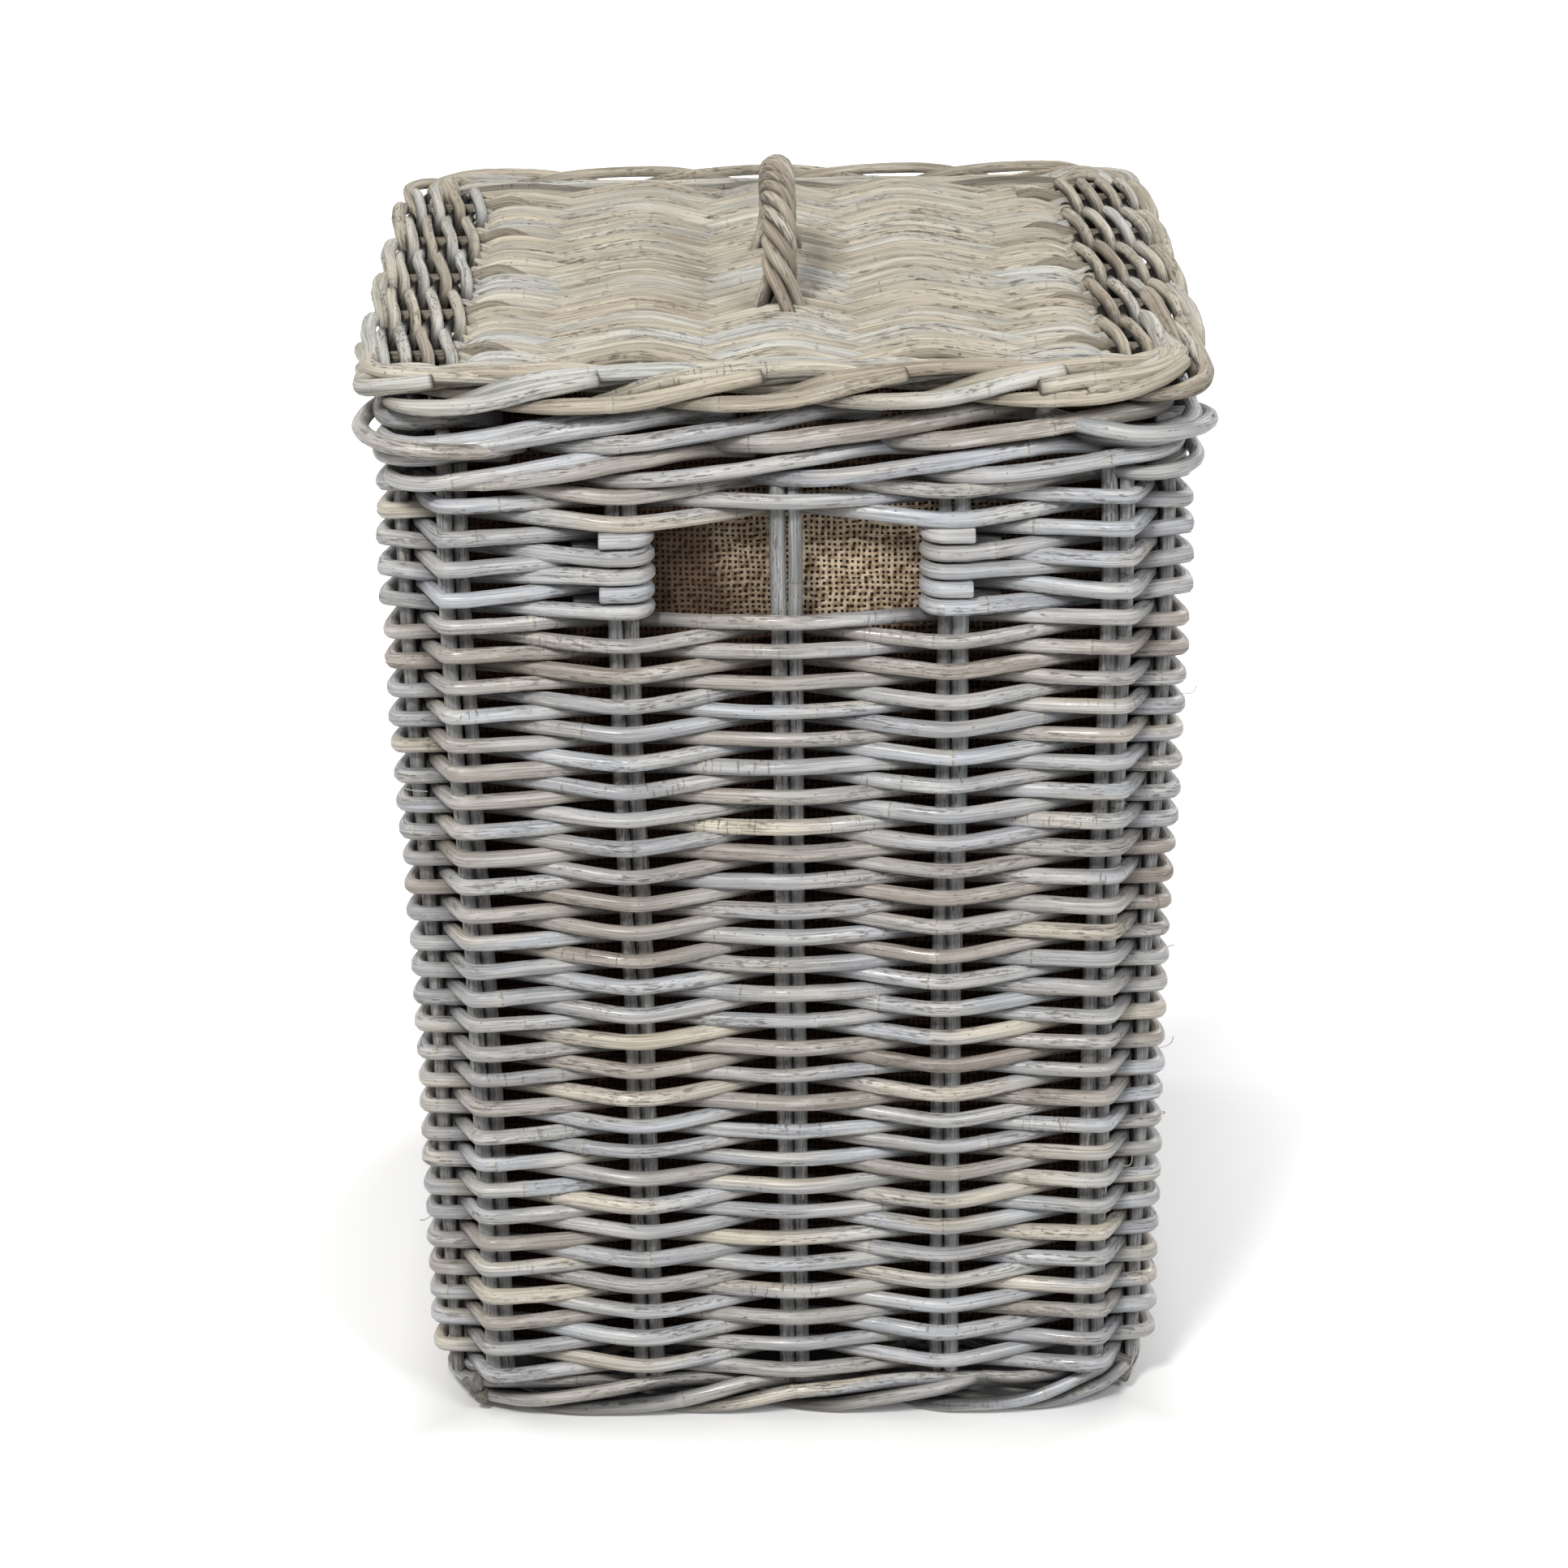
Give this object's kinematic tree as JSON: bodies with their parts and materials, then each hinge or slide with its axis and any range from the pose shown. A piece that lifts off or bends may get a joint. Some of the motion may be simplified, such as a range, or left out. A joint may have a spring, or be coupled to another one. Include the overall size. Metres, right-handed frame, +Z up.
{
  "type": "laundry hamper with lid",
  "caption": "Tall rounded-rectangular rattan laundry hamper, woven over stake pairs, with hand holes, hessian liner and a lift-off woven lid with an arched handle.",
  "frame": {"origin": "middle of the underside of the foot border, on the floor", "axes": "+Z up, -Y the front, +X to the right as seen from the front; the lid's handle runs front to back"},
  "size_m": [0.435, 0.48, 0.6535],
  "materials": {
    "row_rattan": "grey-washed rattan rods, satin",
    "stake_rattan": "pale grey-washed rattan rods, satin",
    "border_rattan": "grey-washed rattan rods, satin",
    "base_rattan": "grey-washed rattan rods, matt",
    "lid_rattan": "beige-grey washed rattan rods, matt",
    "handle_rattan": "twisted beige-grey rattan, matt",
    "hessian": "open-weave jute hessian, matt"
  },
  "bodies": {
    "basket": {"base_panel": "base_rattan", "border_lower_wale": "border_rattan", "border_upper_wale": "border_rattan", "foot_border": "border_rattan", "hand_hole_rows_left": "row_rattan", "hand_hole_rows_right": "row_rattan", "hessian_liner": "hessian", "stake_pair_back_1": "stake_rattan", "stake_pair_back_2": "stake_rattan", "stake_pair_back_3": "stake_rattan", "stake_pair_back_4": "stake_rattan", "stake_pair_back_5": "stake_rattan", "stake_pair_front_1": "stake_rattan", "stake_pair_front_2": "stake_rattan", "stake_pair_front_3": "stake_rattan", "stake_pair_front_4": "stake_rattan", "stake_pair_front_5": "stake_rattan", "stake_pair_left_1": "stake_rattan", "stake_pair_left_2": "stake_rattan", "stake_pair_left_3": "stake_rattan", "stake_pair_left_4": "stake_rattan", "stake_pair_left_5": "stake_rattan", "stake_pair_left_6": "stake_rattan", "stake_pair_right_1": "stake_rattan", "stake_pair_right_2": "stake_rattan", "stake_pair_right_3": "stake_rattan", "stake_pair_right_4": "stake_rattan", "stake_pair_right_5": "stake_rattan", "stake_pair_right_6": "stake_rattan", "weave_rows_01": "row_rattan", "weave_rows_02": "row_rattan", "weave_rows_03": "row_rattan", "weave_rows_04": "row_rattan", "weave_rows_05": "row_rattan", "weave_rows_06": "row_rattan", "weave_rows_07": "row_rattan", "weave_rows_08": "row_rattan", "weave_rows_09": "row_rattan", "weave_rows_10": "row_rattan", "weave_rows_top": "row_rattan"},
    "lid": {"lid_back_plait": "lid_rattan", "lid_bar_1": "lid_rattan", "lid_bar_2": "lid_rattan", "lid_bar_3": "lid_rattan", "lid_bar_4": "lid_rattan", "lid_bar_5": "lid_rattan", "lid_field": "lid_rattan", "lid_front_plait": "lid_rattan", "lid_handle": "handle_rattan", "lid_rim": "lid_rattan", "lid_side_strip_left_1": "lid_rattan", "lid_side_strip_left_2": "lid_rattan", "lid_side_strip_left_3": "lid_rattan", "lid_side_strip_left_4": "lid_rattan", "lid_side_strip_right_1": "lid_rattan", "lid_side_strip_right_2": "lid_rattan", "lid_side_strip_right_3": "lid_rattan", "lid_side_strip_right_4": "lid_rattan"}
  },
  "joints": [
    {"name": "lid_lift", "type": "slide", "parent": "basket", "child": "lid", "axis": [0, 0, 1], "range_m": [0, 0.25]}
  ]
}
